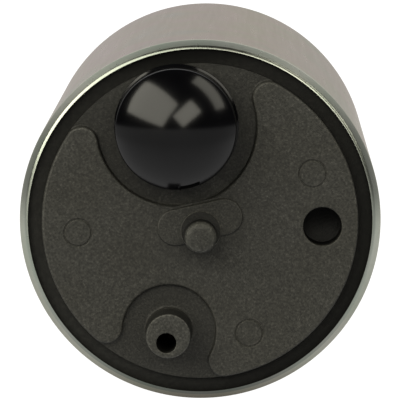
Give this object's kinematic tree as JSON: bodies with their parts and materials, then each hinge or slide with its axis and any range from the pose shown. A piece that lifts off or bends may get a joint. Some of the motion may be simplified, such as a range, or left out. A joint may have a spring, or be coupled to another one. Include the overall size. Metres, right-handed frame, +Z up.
{
  "type": "in-tank electric fuel pump",
  "caption": "Round electric turbine fuel pump for use inside a tank, with a steel case, a die-cast inlet face, a capped inlet nipple and a barbed plastic outlet end.",
  "frame": {"origin": "on the pump's axis at the middle of the steel case's length", "axes": "+Y along the pump's axis towards the outlet, +Z up with the inlet nipple above the axis, +X to the right as seen from the inlet end"},
  "size_m": [0.038, 0.0991, 0.038],
  "materials": {
    "zinc_plated_steel": "satin",
    "seal_rubber": "matte",
    "blasted_die_casting": "matte",
    "turned_die_casting": "satin",
    "black_nylon": "gloss",
    "phenolic_resin": "matte",
    "outlet_acetal": "satin",
    "button_ceramic": "satin",
    "sintered_bronze": "matte",
    "ground_shaft_steel": "gloss",
    "washer_plastic": "matte",
    "lamination_steel": "satin",
    "insulator_plastic": "matte",
    "enamelled_wire": "gloss",
    "segment_copper": "satin",
    "ferrite_magnet": "matte",
    "ferrite_core": "matte",
    "spring_steel": "satin",
    "brush_carbon": "matte",
    "braided_copper": "satin",
    "valve_rubber": "matte",
    "brass_turned": "satin",
    "tinned_brass": "satin"
  },
  "bodies": {
    "housing": {"motor_case": "zinc_plated_steel", "inlet_seal_ring": "seal_rubber", "outlet_seal_ring": "seal_rubber", "inlet_cover": "blasted_die_casting", "pump_body": "turned_die_casting", "outlet_cover": "outlet_acetal", "thrust_button": "button_ceramic", "front_bush": "sintered_bronze", "rear_bush": "sintered_bronze", "choke_coil_right": "enamelled_wire", "choke_coil_left": "enamelled_wire", "magnet_right": "ferrite_magnet", "magnet_left": "ferrite_magnet", "choke_core_right": "ferrite_core", "choke_core_left": "ferrite_core", "magnet_clip_top": "spring_steel", "magnet_clip_bottom": "spring_steel", "brush_spring_right": "spring_steel", "brush_spring_left": "spring_steel", "check_valve_spring": "spring_steel", "relief_spring": "spring_steel", "pigtail_right": "braided_copper", "pigtail_left": "braided_copper", "check_valve_seat": "brass_turned", "relief_plug": "brass_turned", "terminal_right": "tinned_brass", "terminal_left": "tinned_brass", "choke_lead_right": "tinned_brass", "choke_lead_left": "tinned_brass"},
    "rotor": {"rotor_shaft": "ground_shaft_steel", "impeller": "phenolic_resin", "thrust_washer": "washer_plastic", "armature_core": "lamination_steel", "front_insulator": "insulator_plastic", "rear_insulator": "insulator_plastic", "armature_winding": "enamelled_wire", "commutator_base": "insulator_plastic", "commutator_segment_1": "segment_copper", "commutator_segment_2": "segment_copper", "commutator_segment_3": "segment_copper", "commutator_segment_4": "segment_copper", "commutator_segment_5": "segment_copper", "commutator_segment_6": "segment_copper", "commutator_segment_7": "segment_copper", "commutator_segment_8": "segment_copper"},
    "dust_cap": {"inlet_dust_cap": "black_nylon"},
    "brush_right_block": {"brush_right": "brush_carbon"},
    "brush_left_block": {"brush_left": "brush_carbon"},
    "check_poppet": {"check_valve_poppet": "valve_rubber"},
    "relief_ball_body": {"relief_ball": "ground_shaft_steel"}
  },
  "joints": [
    {"name": "rotor_spin", "type": "hinge", "parent": "housing", "child": "rotor", "pos_m": [0, 0, 0], "axis": [0, -1, 0], "continuous": true},
    {"name": "brush_right_slide", "type": "slide", "parent": "housing", "child": "brush_right_block", "axis": [0, 1, 0], "range_m": [0, 0.0015], "stiffness_N_per_m": 150, "springref_m": -0.006, "deforming": ["brush_spring_right"]},
    {"name": "brush_left_slide", "type": "slide", "parent": "housing", "child": "brush_left_block", "axis": [0, 1, 0], "range_m": [0, 0.0015], "stiffness_N_per_m": 150, "springref_m": -0.006, "deforming": ["brush_spring_left"]},
    {"name": "check_valve_lift", "type": "slide", "parent": "housing", "child": "check_poppet", "axis": [0, 1, 0], "range_m": [0, 0.002], "stiffness_N_per_m": 60, "springref_m": -0.004, "deforming": ["check_valve_spring"]},
    {"name": "relief_valve_lift", "type": "slide", "parent": "housing", "child": "relief_ball_body", "axis": [0, 1, 0], "range_m": [0, 0.001], "stiffness_N_per_m": 900, "springref_m": -0.002, "deforming": ["relief_spring"]},
    {"name": "cap_pull", "type": "slide", "parent": "housing", "child": "dust_cap", "axis": [0, -1, 0], "range_m": [0, 0.03]}
  ]
}
